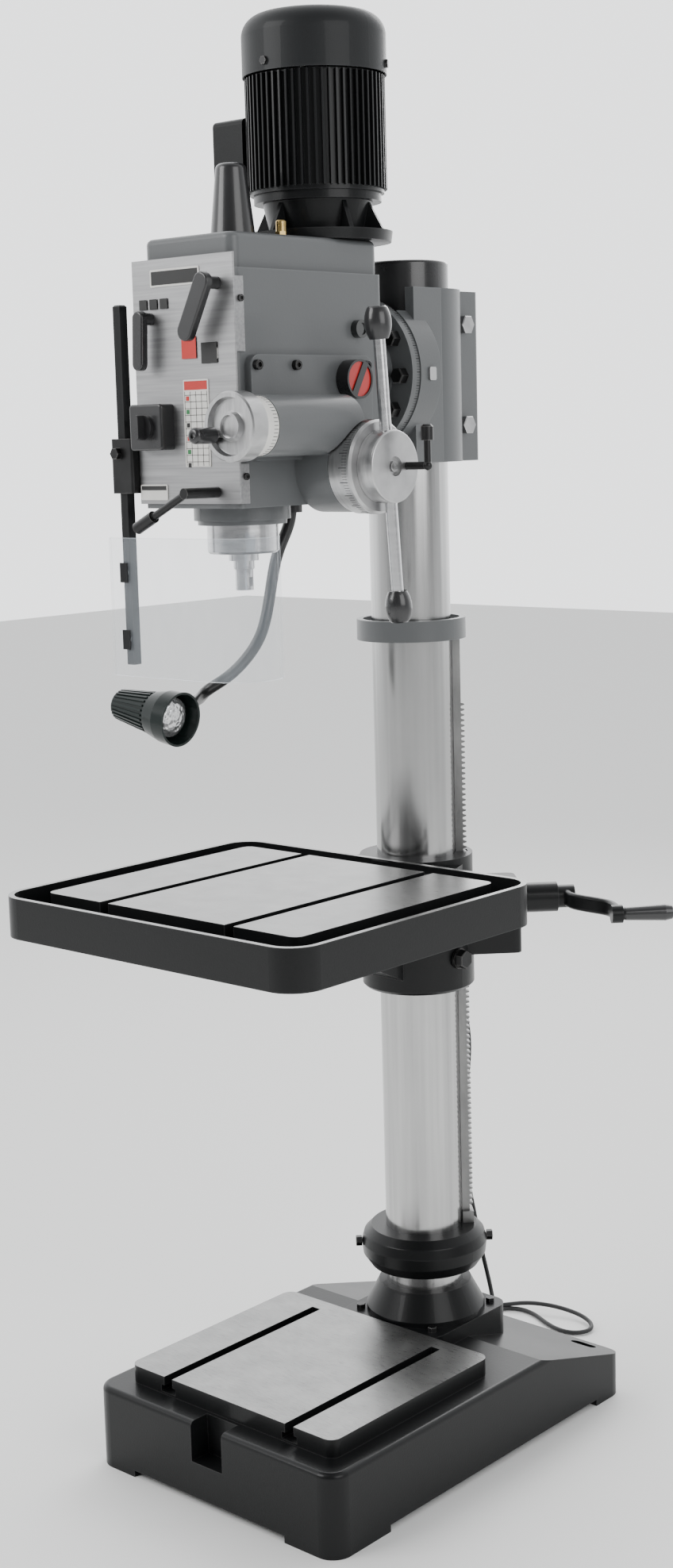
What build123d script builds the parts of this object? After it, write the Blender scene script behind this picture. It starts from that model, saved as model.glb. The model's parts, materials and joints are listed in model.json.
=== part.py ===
"""Pillar drill press with a geared head, a rack-and-crank table and a slotted base.

Frame: floor at z = 0, column axis on x = y = 0, +Z up, -Y to the operator, +X to their right.
All sizes are in millimetres.
"""

import os
from math import cos, pi, radians, sin, tan

from build123d import *

os.makedirs("parts", exist_ok=True)

# Driving dimensions ---------------------------------------------------------------------------
COLUMN_R = 57.5
COLUMN_TOP = 1672
BASE_X = 462
BASE_FRONT = -472
BASE_REAR = 193
BASE_RIM = 120
BASE_PAD_TOP = 146
SLOT_X = 117
SLOT_WIDTH = 16
SLOT_T = (28, 10)
TABLE_TOP = 850
TABLE_FRONT = -566
TABLE_REAR = -73
TABLE_X = 560
BOSS_R = 83
BOSS_Z = (650, 848)
CRANK_Z = 776
SPINDLE_Y = -343
MOTOR_Y = -177
IDLER_Y = -234
HEAD_X = 176
HEAD_FRONT = -436
HEAD_REAR = -150
HEAD_Z = (1370, 1668)
COVER_TOP = 1713
TILT_Z = 1540
FEED_Y = -276
FEED_Z = 1417
WORM_X = 134
WORM_Z = 1472
QUILL_R = 47.5
QUILL_BOTTOM = 1308
RUNNING = 0.05
RACK_MODULE = 2.5
LIFT_TEETH = 14
FEED_TEETH = 18
GEAR_MODULE = 2.0
MOTOR_TEETH = 12
IDLER_TEETH = 45
SPINDLE_TEETH = 64
GEAR_Z = (1638, 1652)
CORD_D = 7
GUARD_POST = (-118, -438)
WHEEL_Z = CRANK_Z - 36

# The rack, the crank and its shaft lie on the diagonal between +X and +Y.
DIAGONAL = 45
RADIAL = Vector(cos(radians(DIAGONAL)), sin(radians(DIAGONAL)), 0)
TANGENT = Vector(RADIAL.Y, -RADIAL.X, 0)


def out(name, builder):
    """Labels a finished piece and writes it as one STEP file."""
    builder.part.label = name
    export_step(builder.part, f"parts/{name}.step")


def radial(distance, z, along=0):
    """A point on the diagonal, with an offset along the horizontal tangent."""
    return RADIAL * distance + TANGENT * along + Vector(0, 0, z)


def gear_points(teeth, module, turn=0.0):
    """Corners of a spur gear with straight-sided teeth and a little backlash."""
    pitch_r = teeth * module / 2
    step = 2 * pi / teeth
    points = []
    for tooth in range(teeth):
        middle = tooth * step + radians(turn)
        for share, r in ((-0.29, -1.2), (-0.11, 0.8), (0.11, 0.8), (0.29, -1.2)):
            angle = middle + share * step
            reach = pitch_r + r * module
            points.append((reach * cos(angle), reach * sin(angle)))
    return points


def rack_points(low, high, start, count, pitch_x, module, back_x):
    """Outline of a rack in the x-z plane: count teeth towards +x from start up, flat back."""
    pitch = pi * module
    points = [(back_x, low), (pitch_x - 1.2 * module, low)]
    for tooth in range(count):
        middle = start + (tooth + 0.5) * pitch
        for share, x in ((-0.3, -1.2), (-0.12, 0.8), (0.12, 0.8), (0.3, -1.2)):
            points.append((pitch_x + x * module, middle + share * pitch))
    points += [(pitch_x - 1.2 * module, high), (back_x, high)]
    return points


def screw(place, across=16, head=9, socket=False):
    """A screw head standing on a plane: hexagonal, or round with a hexagon socket."""
    with BuildPart() as screw_head:
        with BuildSketch(place):
            if socket:
                Circle(across / 2)
            else:
                RegularPolygon(across / 2, 6, major_radius=False)
        extrude(amount=head)
        chamfer(screw_head.edges().filter_by(GeomType.LINE if not socket else GeomType.CIRCLE)
                .group_by(Axis(place.origin, place.z_dir))[-1], head / 12)
        if socket:
            with BuildSketch(place.offset(head)):
                RegularPolygon(across / 4, 6, major_radius=False)
            extrude(amount=-head / 2, mode=Mode.SUBTRACT)
    return screw_head.part


def side_plane(x, y, z):
    """A plane facing +X."""
    return Plane(origin=(x, y, z), x_dir=(0, 1, 0), z_dir=(1, 0, 0))


def front_plane(x, y, z):
    """A plane facing the operator."""
    return Plane(origin=(x, y, z), x_dir=(1, 0, 0), z_dir=(0, -1, 0))


def level(z, x=0, y=0):
    """A level plane facing up."""
    return Plane(origin=(x, y, z), x_dir=(1, 0, 0), z_dir=(0, 0, 1))


# Base ------------------------------------------------------------------------------------------
# A heavy casting: sloped rear flange, raised slotted pad, column block, four corner feet
# and a round foot under the column.
base_mid_y = (BASE_FRONT + BASE_REAR) / 2
base_depth = BASE_REAR - BASE_FRONT
SLOPE_START = -13
SLOPE_LOW = 60
RELIEF = 10
FOOT_R = 50
with BuildPart() as base:
    with BuildSketch(level(0, 0, base_mid_y)):
        RectangleRounded(BASE_X, base_depth, 30)
    extrude(amount=BASE_RIM)
    with BuildSketch(Plane.YZ.offset(-BASE_X)):
        with BuildLine():
            Polyline((SLOPE_START, BASE_RIM), (BASE_REAR, SLOPE_LOW), (BASE_REAR + 9, SLOPE_LOW),
                     (BASE_REAR + 9, BASE_RIM + 9), (SLOPE_START, BASE_RIM + 9), close=True)
        make_face()
    extrude(amount=2 * BASE_X, mode=Mode.SUBTRACT)
    fillet(base.edges().filter_by(Axis.X).group_by(Axis.Z)[-1].sort_by(Axis.Y)[:1], 8)
    with BuildSketch(level(BASE_RIM - 1, 0, (-433 - 94) / 2)):
        RectangleRounded(392, 433 - 94, 16)
    extrude(amount=BASE_PAD_TOP - BASE_RIM + 1)
    with BuildSketch(level(SLOPE_LOW, 0, -2.5)):
        RectangleRounded(184, 185, 24)
    extrude(amount=142 - SLOPE_LOW)
    with BuildSketch(level(62, -4.5, BASE_FRONT + 16)):
        Rectangle(59, 34)
    extrude(amount=100, mode=Mode.SUBTRACT)
    with Locations((-SLOT_X, -280, BASE_PAD_TOP), (SLOT_X, -280, BASE_PAD_TOP)):
        Box(SLOT_WIDTH, 320, 26, mode=Mode.SUBTRACT)
    with Locations((-SLOT_X, -280, BASE_PAD_TOP - 18), (SLOT_X, -280, BASE_PAD_TOP - 18)):
        Box(SLOT_T[0], 320, SLOT_T[1], mode=Mode.SUBTRACT)
    with Locations((0, base_mid_y + 20, RELIEF / 2)):
        Box(BASE_X + 2, base_depth - 2 * 92, RELIEF, mode=Mode.SUBTRACT)
    with Locations((-7, BASE_FRONT + 45, RELIEF / 2), (0, BASE_REAR - 35, RELIEF / 2)):
        Box(292, 104, RELIEF, mode=Mode.SUBTRACT)
    with BuildSketch(level(0)):
        Circle(FOOT_R)
    extrude(amount=RELIEF)
    with Locations((-174, 168, 50), (174, 168, 50)):
        Box(25, 18, 110, mode=Mode.SUBTRACT)
    with Locations((-186.5, 168), (-161.5, 168), (161.5, 168), (186.5, 168)):
        Hole(9)
out("base", base)

# Column socket: a turned cone bolted to the column block.
with BuildPart() as column_socket:
    with BuildSketch(Plane.XZ):
        with BuildLine():
            Polyline((COLUMN_R, 142), (90, 142), (90, 150), (72, 184), (70, 188), (COLUMN_R, 188),
                     close=True)
        make_face()
    revolve(axis=Axis.Z)
out("column_socket", column_socket)

BLOCK_TOP = 142
BOLT_REACH = 70
with BuildPart() as socket_bolts:
    for side_x in (-BOLT_REACH, BOLT_REACH):
        for side_y in (-BOLT_REACH, BOLT_REACH):
            add(screw(level(BLOCK_TOP, side_x, side_y), 12, 7))

with BuildPart() as column:
    with BuildSketch(level(142)):
        Circle(COLUMN_R)
        Circle(COLUMN_R - 9, mode=Mode.SUBTRACT)
    extrude(amount=COLUMN_TOP - 142)
out("column", column)

# Lower collar that the rack stands on, and the ring that holds the rack's top.
with BuildPart() as lower_rack_collar:
    with BuildSketch(Plane.XZ):
        with BuildLine():
            Polyline((COLUMN_R, 216), (82, 216), (93, 232), (95, 250), (91, 264), (80, 275),
                     (COLUMN_R, 275), close=True)
        make_face()
    revolve(axis=Axis.Z)
    fillet(lower_rack_collar.edges().filter_by(GeomType.CIRCLE).group_by(Axis.Z)[1:4], 3)
out("lower_rack_collar", lower_rack_collar)

with BuildPart() as collar_screws:
    for angle in (DIAGONAL, DIAGONAL + 180):
        way = Vector(cos(radians(angle)), sin(radians(angle)), 0)
        add(screw(Plane(origin=way * 95.1 + Vector(0, 0, 250), z_dir=way), 14, 9))
with BuildPart() as column_fasteners:
    add(socket_bolts.part)
    add(collar_screws.part)
out("column_fasteners", column_fasteners)

RING = (1165, 1195)
with BuildPart() as upper_rack_ring:
    with BuildSketch(level(RING[0])):
        Circle(79)
        Circle(COLUMN_R, mode=Mode.SUBTRACT)
    extrude(amount=RING[1] - RING[0])
    with BuildSketch(level(RING[0])):
        Circle(75.4)
        Circle(COLUMN_R, mode=Mode.SUBTRACT)
    extrude(amount=8, mode=Mode.SUBTRACT)
    with BuildSketch(level(RING[1])):
        Circle(70)
        Circle(COLUMN_R, mode=Mode.SUBTRACT)
    extrude(amount=-6, mode=Mode.SUBTRACT)
out("upper_rack_ring", upper_rack_ring)

# Rack: a toothed bar that turns about the column between the collar and the ring.
RACK_Z = (275.3, 1172)
RACK_PITCH_R = 72.5
RACK_TEETH = 98
TEETH_START = WHEEL_Z - 56 * pi * RACK_MODULE
rack_plane = Plane(origin=TANGENT * 7, x_dir=RADIAL, z_dir=TANGENT)
with BuildPart() as rack:
    with BuildSketch(rack_plane):
        with BuildLine():
            Polyline(*rack_points(*RACK_Z, TEETH_START, RACK_TEETH, RACK_PITCH_R, RACK_MODULE, 58.2),
                     close=True)
        make_face()
    extrude(amount=-14)
    with BuildSketch(Plane(origin=radial(66.6, RACK_Z[0]), x_dir=RADIAL, z_dir=(0, 0, 1))):
        Rectangle(16.8, 28)
    extrude(amount=18)
    with BuildSketch(level(RACK_Z[0])):
        Circle(COLUMN_R + 0.4)
    extrude(amount=1000, mode=Mode.SUBTRACT)
out("rack", rack)

# Table -----------------------------------------------------------------------------------------
# One casting: rim with a coolant trough, slotted pad, ribs, neck, boss and crank housing.
table_mid_y = (TABLE_FRONT + TABLE_REAR) / 2
table_depth = TABLE_REAR - TABLE_FRONT
TABLE_UNDER = 793
TROUGH = 30
PAD = (468, 399)
PAD_Y = -313.5
SHAFT_SIDE = 16
LIFT_PITCH_R = LIFT_TEETH * RACK_MODULE / 2
LIFT_REACH = RACK_PITCH_R + LIFT_PITCH_R
HOUSING_Z = (700, 802)
CRANK_BOSS = (140, 206)
diagonal_level = Plane(origin=(0, 0, 0), x_dir=RADIAL, z_dir=(0, 0, 1))
with BuildPart() as table:
    with BuildSketch(level(TABLE_UNDER, 0, table_mid_y)):
        RectangleRounded(TABLE_X, table_depth, 45)
    extrude(amount=TABLE_TOP - TABLE_UNDER)
    with BuildSketch(level(TABLE_TOP, 0, table_mid_y)):
        RectangleRounded(TABLE_X - 16, table_depth - 16, 37)
        with Locations((0, PAD_Y - table_mid_y)):
            RectangleRounded(*PAD, 14, mode=Mode.SUBTRACT)
    extrude(amount=-TROUGH, mode=Mode.SUBTRACT)
    with BuildSketch(level(TABLE_UNDER, 0, table_mid_y)):
        RectangleRounded(TABLE_X - 28, table_depth - 28, 31)
        Rectangle(14, table_depth, mode=Mode.SUBTRACT)
        with Locations((0, -90), (0, 90)):
            Rectangle(TABLE_X, 14, mode=Mode.SUBTRACT)
        with Locations((-150, 0), (150, 0)):
            Rectangle(14, table_depth, mode=Mode.SUBTRACT)
    extrude(amount=16, mode=Mode.SUBTRACT)
    with Locations((-SLOT_X, PAD_Y, TABLE_TOP), (SLOT_X, PAD_Y, TABLE_TOP)):
        Box(SLOT_WIDTH, PAD[1] + 2, 36, mode=Mode.SUBTRACT)
    with Locations((-SLOT_X, PAD_Y, TABLE_TOP - 23), (SLOT_X, PAD_Y, TABLE_TOP - 23)):
        Box(SLOT_T[0], PAD[1] + 2, SLOT_T[1], mode=Mode.SUBTRACT)
    with BuildSketch(level(742)):
        with BuildLine():
            Polyline((-118, -100), (128, -100), (80, 12), (-80, 12), close=True)
        make_face()
    extrude(amount=TABLE_TOP - 12 - 742)
    with BuildSketch(Plane.YZ.offset(-34)):
        with BuildLine():
            Polyline((-330, TABLE_UNDER + 2), (-60, 665), (-40, 665), (-40, TABLE_UNDER + 2), close=True)
        make_face()
    extrude(amount=68)
    with BuildSketch(level(BOSS_Z[0])):
        Circle(BOSS_R)
    extrude(amount=BOSS_Z[1] - BOSS_Z[0])
    chamfer(table.edges().filter_by(GeomType.CIRCLE).group_by(Axis.Z)[0], 4)
    with BuildSketch(diagonal_level.offset(HOUSING_Z[0])):
        with Locations((100, 0)):
            RectangleRounded(100, 92, 12)
    extrude(amount=HOUSING_Z[1] - HOUSING_Z[0])
    with BuildSketch(Plane(origin=radial(100, CRANK_Z, SHAFT_SIDE), z_dir=RADIAL)):
        Circle(22)
    extrude(amount=CRANK_BOSS[1] - 100)
    # Hollows: the column bore, the rack's groove, the gear pocket and the shaft holes.
    with BuildSketch(level(BOSS_Z[0] - 2)):
        Circle(COLUMN_R + RUNNING)
    extrude(amount=BOSS_Z[1] - BOSS_Z[0] + 4, mode=Mode.SUBTRACT)
    with BuildSketch(diagonal_level.offset(BOSS_Z[0] - 2)):
        with Locations((60, 0)):
            Rectangle(32, 14.8)
    extrude(amount=BOSS_Z[1] - BOSS_Z[0] + 4, mode=Mode.SUBTRACT)
    with BuildSketch(diagonal_level.offset(WHEEL_Z - 28)):
        with Locations((101, -1)):
            Rectangle(78, 52)
    extrude(amount=CRANK_Z + 13 - WHEEL_Z + 28, mode=Mode.SUBTRACT)
    with BuildSketch(Plane(origin=radial(LIFT_REACH, WHEEL_Z, -38), z_dir=TANGENT)):
        Circle(8 + RUNNING)
    extrude(amount=76, mode=Mode.SUBTRACT)
    with BuildSketch(Plane(origin=radial(100, CRANK_Z, SHAFT_SIDE), z_dir=RADIAL)):
        Circle(9 + RUNNING)
    extrude(amount=110, mode=Mode.SUBTRACT)
    # Split in the boss, closed by the clamp bolt.
    with Locations(Location((-72, 30, 749), (0, 0, -24))):
        Box(40, 3, 200, mode=Mode.SUBTRACT)
out("table", table)

with BuildPart() as table_clamp_bolt:
    add(screw(Plane(origin=(86.75, -8, 700), z_dir=(1, 0, 0)), 24, 12))
    with BuildSketch(side_plane(83.05, -8, 700)):
        Circle(15)
    extrude(amount=3.7)
out("table_clamp_bolt", table_clamp_bolt)

# Crank shaft with its worm, and the cross shaft with wheel and pinion.
with BuildPart() as lift_gear:
    with BuildSketch(Plane(origin=radial(LIFT_REACH, WHEEL_Z, -36), x_dir=RADIAL, z_dir=TANGENT)):
        Circle(8)
    extrude(amount=68)
    with BuildSketch(Plane(origin=radial(LIFT_REACH, WHEEL_Z, -7), x_dir=-RADIAL, z_dir=TANGENT)):
        with BuildLine():
            Polyline(*gear_points(LIFT_TEETH, RACK_MODULE), close=True)
        make_face()
    extrude(amount=14)
    with BuildSketch(Plane(origin=radial(LIFT_REACH, WHEEL_Z, 10), x_dir=-RADIAL, z_dir=TANGENT)):
        with BuildLine():
            Polyline(*gear_points(24, 2.0), close=True)
        make_face()
    extrude(amount=12)
out("lift_gear", lift_gear)

with BuildPart() as crank_shaft:
    with BuildSketch(Plane(origin=radial(80, CRANK_Z, SHAFT_SIDE), z_dir=RADIAL)):
        Circle(9)
    extrude(amount=126)
    with BuildSketch(Plane(origin=radial(84, CRANK_Z, SHAFT_SIDE), z_dir=RADIAL)):
        Circle(10)
    extrude(amount=24)
    with BuildSketch(Plane(origin=radial(206, CRANK_Z, SHAFT_SIDE), z_dir=RADIAL)):
        Circle(7)
    extrude(amount=22)

GRIP_SIDE = 147
GRIP_START = 280
with BuildPart() as table_crank:
    with BuildSketch(Plane(origin=radial(206.3, CRANK_Z, SHAFT_SIDE), z_dir=RADIAL)):
        Circle(17)
    extrude(amount=25)
    arm_path = [radial(219, CRANK_Z, SHAFT_SIDE), radial(222, CRANK_Z, 45), radial(266, CRANK_Z, 105),
                radial(272, CRANK_Z, GRIP_SIDE)]
    with BuildLine() as arm_line:
        Spline(*arm_path, tangents=[TANGENT + RADIAL * 0.1, TANGENT])
    with BuildSketch(Plane(origin=arm_path[0], x_dir=(0, 0, 1), z_dir=arm_line.line % 0)):
        RectangleRounded(24, 11, 5)
    sweep(path=arm_line.line)
    with BuildSketch(Plane(origin=radial(263, CRANK_Z, GRIP_SIDE), z_dir=RADIAL)):
        Circle(13)
    extrude(amount=16)
    with BuildSketch(Plane(origin=radial(279, CRANK_Z, GRIP_SIDE), z_dir=RADIAL)):
        Circle(5)
    extrude(amount=76)
    add(crank_shaft.part)
out("table_crank", table_crank)

grip_plane = Plane(origin=radial(GRIP_START, CRANK_Z, GRIP_SIDE), x_dir=(0, 0, 1), z_dir=-TANGENT)
with BuildPart() as crank_grip:
    with BuildSketch(Plane(origin=grip_plane.origin, x_dir=RADIAL, z_dir=TANGENT)):
        with BuildLine():
            Polyline((0, 5 + RUNNING), (0, 8.5), (3, 9.5), (60, 12), (70, 10), (73, 5 + RUNNING),
                     close=True)
        make_face()
    revolve(axis=Axis(grip_plane.origin, RADIAL))
out("crank_grip", crank_grip)

# Yoke ------------------------------------------------------------------------------------------
# The casting that clamps the column and carries the head on its round swivel face.
YOKE_Z = (1417, 1656)
SWIVEL_FACE = -94
SWIVEL_R = 106
with BuildPart() as yoke:
    with BuildSketch(level(YOKE_Z[0])):
        Circle(79)
        with Locations((0, 80)):
            Rectangle(90, 64)
        with Locations((0, -45)):
            Rectangle(158, 60)
    extrude(amount=YOKE_Z[1] - YOKE_Z[0])
    with BuildSketch(front_plane(0, -50, TILT_Z)):
        Circle(SWIVEL_R)
    extrude(amount=-50 - SWIVEL_FACE)
    with BuildSketch(level(YOKE_Z[1] + 1)):
        Circle(64)
        with Locations((0, -70)):
            Rectangle(128, 140)
    extrude(amount=-59, mode=Mode.SUBTRACT)
    with BuildSketch(level(YOKE_Z[0] - 1)):
        Circle(COLUMN_R)
        with Locations((0, 90)):
            Rectangle(4, 70)
    extrude(amount=YOKE_Z[1] - YOKE_Z[0] + 2, mode=Mode.SUBTRACT)
    with Locations((-60, 90, TILT_Z), (60, 90, TILT_Z)):
        Box(30, 64, 300, mode=Mode.SUBTRACT)
    fillet(yoke.edges().filter_by(Axis.Z).group_by(Axis.Y)[-1], 8)
out("yoke", yoke)

with BuildPart() as yoke_clamp_bolts:
    for z in (1468, 1609):
        add(screw(side_plane(45, 72, z), 24, 14))
        add(screw(Plane(origin=(-45, 72, z), z_dir=(-1, 0, 0)), 24, 14))
    add(screw(side_plane(79, -60, 1455), 12, 5, socket=True))
out("yoke_clamp_bolts", yoke_clamp_bolts)

with BuildPart() as column_cap:
    with BuildSketch(level(COLUMN_TOP - 62)):
        Circle(62.5)
    extrude(amount=86)
    fillet(column_cap.edges().group_by(Axis.Z)[-1], 5)
    with BuildSketch(level(COLUMN_TOP - 62)):
        Circle(COLUMN_R)
    extrude(amount=62, mode=Mode.SUBTRACT)
out("column_cap", column_cap)

with BuildPart() as tilt_pointer:
    with BuildSketch(side_plane(106.1, -72, TILT_Z - 2)):
        RectangleRounded(14, 18, 3)
    extrude(amount=3)
out("tilt_pointer", tilt_pointer)

# Head ------------------------------------------------------------------------------------------
# Gearbox casting that turns on the yoke's swivel face: quill bore, feed bore and gear chamber.
head_mid_y = (HEAD_FRONT + HEAD_REAR) / 2
head_depth = HEAD_REAR - HEAD_FRONT
QUILL_STROKE = 125
QUILL_TOP = 1560
CHAMBER_Z = (1616, 1697)
with BuildPart() as head_housing:
    with BuildSketch(level(HEAD_Z[0], 0, head_mid_y)):
        RectangleRounded(HEAD_X, head_depth, 10)
    extrude(amount=HEAD_Z[1] - HEAD_Z[0])
    with BuildSketch(front_plane(0, HEAD_REAR - 10, TILT_Z)):
        Circle(68)
    extrude(amount=-52)
    with BuildSketch(front_plane(0, -110, TILT_Z)):
        Circle(104)
    extrude(amount=-15.7)
    with BuildSketch(level(HEAD_Z[0] + 1, 0, SPINDLE_Y)):
        Circle(64)
    extrude(amount=-19)
    with BuildSketch(level(1352, 0, SPINDLE_Y)):
        Circle(59)
    extrude(amount=-6)
    # Hollows: the quill's bore with its rack's relief, the feed shaft's bore, the gear chamber.
    with BuildSketch(level(HEAD_Z[0] - 30, 0, SPINDLE_Y)):
        Circle(QUILL_R + RUNNING)
    extrude(amount=QUILL_TOP + 24 - HEAD_Z[0] + 30, mode=Mode.SUBTRACT)
    with BuildSketch(side_plane(-70, FEED_Y, FEED_Z)):
        Circle(9 + RUNNING)
    extrude(amount=200, mode=Mode.SUBTRACT)
    with BuildSketch(side_plane(-12, FEED_Y, FEED_Z)):
        Circle(28)
    extrude(amount=24, mode=Mode.SUBTRACT)
    with BuildSketch(level(CHAMBER_Z[0], 0, -286)):
        RectangleRounded(148, 250, 12)
    extrude(amount=CHAMBER_Z[1] - CHAMBER_Z[0], mode=Mode.SUBTRACT)
    with BuildSketch(level(1580, 0, SPINDLE_Y)):
        Circle(30)
    extrude(amount=40, mode=Mode.SUBTRACT)
    with Locations((0, -207, 1492)):
        Box(148, 85, 215, mode=Mode.SUBTRACT)
    with BuildSketch(side_plane(60, -237, 1530)):
        Circle(6 + RUNNING)
    extrude(amount=40, mode=Mode.SUBTRACT)
out("head_housing", head_housing)

with BuildPart() as swivel_bolts:
    for angle in (-3, 32, 148, 183, 215, 325):
        place = front_plane(86 * cos(radians(angle)), -110.05, TILT_Z + 86 * sin(radians(angle)))
        add(screw(place, 20, 14))

# Gearbox cover: the deck that the motor and the spindle cup stand on.
with BuildPart() as gearbox_cover:
    with BuildSketch(level(HEAD_Z[1], 0, head_mid_y + 5)):
        RectangleRounded(160, head_depth - 4, 14)
    extrude(amount=COVER_TOP - HEAD_Z[1])
    fillet(gearbox_cover.edges().group_by(Axis.Z)[-1], 8)
    with BuildSketch(level(HEAD_Z[1], 0, -286)):
        RectangleRounded(140, 250, 10)
    extrude(amount=30, mode=Mode.SUBTRACT)
    with BuildSketch(level(HEAD_Z[1], 0, SPINDLE_Y)):
        Circle(20)
    extrude(amount=60, mode=Mode.SUBTRACT)
    with BuildSketch(level(HEAD_Z[1], 0, MOTOR_Y)):
        Circle(16)
    extrude(amount=60, mode=Mode.SUBTRACT)
out("gearbox_cover", gearbox_cover)

# Front panel: a folded aluminium cover with two side flanges.
PANEL_FRONT = -439
with BuildPart() as front_panel:
    with Locations((0, PANEL_FRONT + 1.2, 1531)):
        Box(183, 2.4, 310)
    with Locations((-90.2, PANEL_FRONT + 9, 1517)):
        Box(2.4, 17, 282)
    # The right flange stops short of the feed box above and below.
    with Locations((90.2, PANEL_FRONT + 9, 1401)):
        Box(2.4, 17, 50)
    with Locations((90.2, PANEL_FRONT + 9, 1611)):
        Box(2.4, 17, 92)
    fillet(front_panel.edges().filter_by(Axis.Z).group_by(Axis.Y)[0], 1)
out("front_panel", front_panel)

with BuildPart() as panel_screws:
    for z in (1410, 1630):
        add(screw(side_plane(91.45, PANEL_FRONT + 11, z), 9, 3, socket=True))
    for z in (1480, 1630):
        add(screw(Plane(origin=(-91.45, PANEL_FRONT + 11, z), z_dir=(-1, 0, 0)), 9, 3, socket=True))

# Motor -----------------------------------------------------------------------------------------
with BuildPart() as motor_adaptor:
    with BuildSketch(Plane.XZ.offset(-MOTOR_Y)):
        with BuildLine():
            Polyline((48, COVER_TOP + 0.05), (98, COVER_TOP + 0.05), (100, COVER_TOP + 14),
                     (66, COVER_TOP + 15), (74, 1766), (40, 1766), (40, 1752), (48, 1745), close=True)
        make_face()
    revolve(axis=Axis((0, MOTOR_Y, 0), (0, 0, 1)))
    for angle in (20, 90, 160, 200, 270, 340):
        way = Plane(origin=(0, MOTOR_Y, COVER_TOP + 13),
                    x_dir=(cos(radians(angle)), sin(radians(angle)), 0),
                    z_dir=(sin(radians(angle)), -cos(radians(angle)), 0))
        with BuildSketch(way.offset(-3)):
            Polygon((60, 0), (94, 0), (74, 38), (60, 38), align=None)
        extrude(amount=6)
    with BuildSketch(level(COVER_TOP - 1, 0, SPINDLE_Y)):
        Circle(72)
    extrude(amount=40, mode=Mode.SUBTRACT)
out("motor_adaptor", motor_adaptor)

with BuildPart() as motor_frame:
    with BuildSketch(level(1766, 0, MOTOR_Y)):
        Circle(86)
        Circle(12, mode=Mode.SUBTRACT)
    extrude(amount=11.5)
    with BuildSketch(level(1777, 0, MOTOR_Y)):
        Circle(87)
        Circle(68, mode=Mode.SUBTRACT)
    extrude(amount=153)
    with BuildSketch(level(1782, 0, MOTOR_Y)):
        with PolarLocations(90, 60):
            Rectangle(8, 2.6)
    extrude(amount=146)
    with BuildSketch(level(1922, 0, MOTOR_Y)):
        Circle(68.5)
        Circle(12, mode=Mode.SUBTRACT)
    extrude(amount=8)
    with BuildSketch(level(1777, 0, MOTOR_Y)):
        Circle(90)
        Circle(80, mode=Mode.SUBTRACT)
    extrude(amount=6)
out("motor_frame", motor_frame)

FAN_TOP = 2010
with BuildPart() as fan_cover:
    with BuildSketch(Plane.XZ.offset(-MOTOR_Y)):
        with BuildLine():
            Polyline((94.6, 1930.1), (96.6, 1930.1), (96.6, 1982))
            RadiusArc((96.6, 1982), (68, FAN_TOP), -29)
            Polyline((68, FAN_TOP), (0, FAN_TOP), (0, FAN_TOP - 2.5), (68, FAN_TOP - 2.5))
            RadiusArc((68, FAN_TOP - 2.5), (94.2, 1982), 26.5)
            Line((94.2, 1982), (94.6, 1930.1))
        make_face()
    revolve(axis=Axis((0, MOTOR_Y, 0), (0, 0, 1)))
    with BuildSketch(level(FAN_TOP - 6, 0, MOTOR_Y)):
        for ring, count in ((22, 10), (38, 16), (54, 24)):
            with PolarLocations(ring, count):
                Circle(4.2)
    extrude(amount=8, mode=Mode.SUBTRACT)
out("fan_cover", fan_cover)

with BuildPart() as fan_cover_screws:
    for angle in (30, 150, 270):
        way = Vector(cos(radians(angle)), sin(radians(angle)), 0)
        place = Plane(origin=way * 96.7 + Vector(0, MOTOR_Y, 1942), z_dir=way)
        add(screw(place, 10, 3.5))

with BuildPart() as terminal_box:
    with Locations((-126, MOTOR_Y, 1838)):
        Box(58, 84, 96)
    fillet(terminal_box.edges().filter_by(Axis.X), 8)
    fillet(terminal_box.edges().group_by(Axis.X)[0], 4)
    with BuildSketch(level(1780, 0, MOTOR_Y)):
        Circle(95)
    extrude(amount=120, mode=Mode.SUBTRACT)
out("terminal_box", terminal_box)

with BuildPart() as motor_rotor:
    with BuildSketch(level(GEAR_Z[0] - 6, 0, MOTOR_Y)):
        Circle(9)
    extrude(amount=1990 - GEAR_Z[0] + 6)
    with BuildSketch(level(1795, 0, MOTOR_Y)):
        Circle(58)
    extrude(amount=110)
    with BuildSketch(Plane(origin=(0, MOTOR_Y, GEAR_Z[0]), x_dir=(0, -1, 0), z_dir=(0, 0, 1))):
        with BuildLine():
            Polyline(*gear_points(MOTOR_TEETH, GEAR_MODULE), close=True)
        make_face()
    extrude(amount=GEAR_Z[1] - GEAR_Z[0])
    with BuildSketch(level(1950, 0, MOTOR_Y)):
        Circle(24)
        with PolarLocations(48, 9):
            Rectangle(56, 4)
    extrude(amount=34)
out("motor_rotor", motor_rotor)

with BuildPart() as idler_gear:
    with BuildSketch(level(CHAMBER_Z[0] + 0.3, 0, IDLER_Y)):
        Circle(12)
    extrude(amount=GEAR_Z[1] - CHAMBER_Z[0] + 10)
    with BuildSketch(Plane(origin=(0, IDLER_Y, GEAR_Z[0]), x_dir=(0, -1, 0), z_dir=(0, 0, 1))):
        with BuildLine():
            Polyline(*gear_points(IDLER_TEETH, GEAR_MODULE), close=True)
        make_face()
    extrude(amount=GEAR_Z[1] - GEAR_Z[0])
out("idler_gear", idler_gear)

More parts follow.
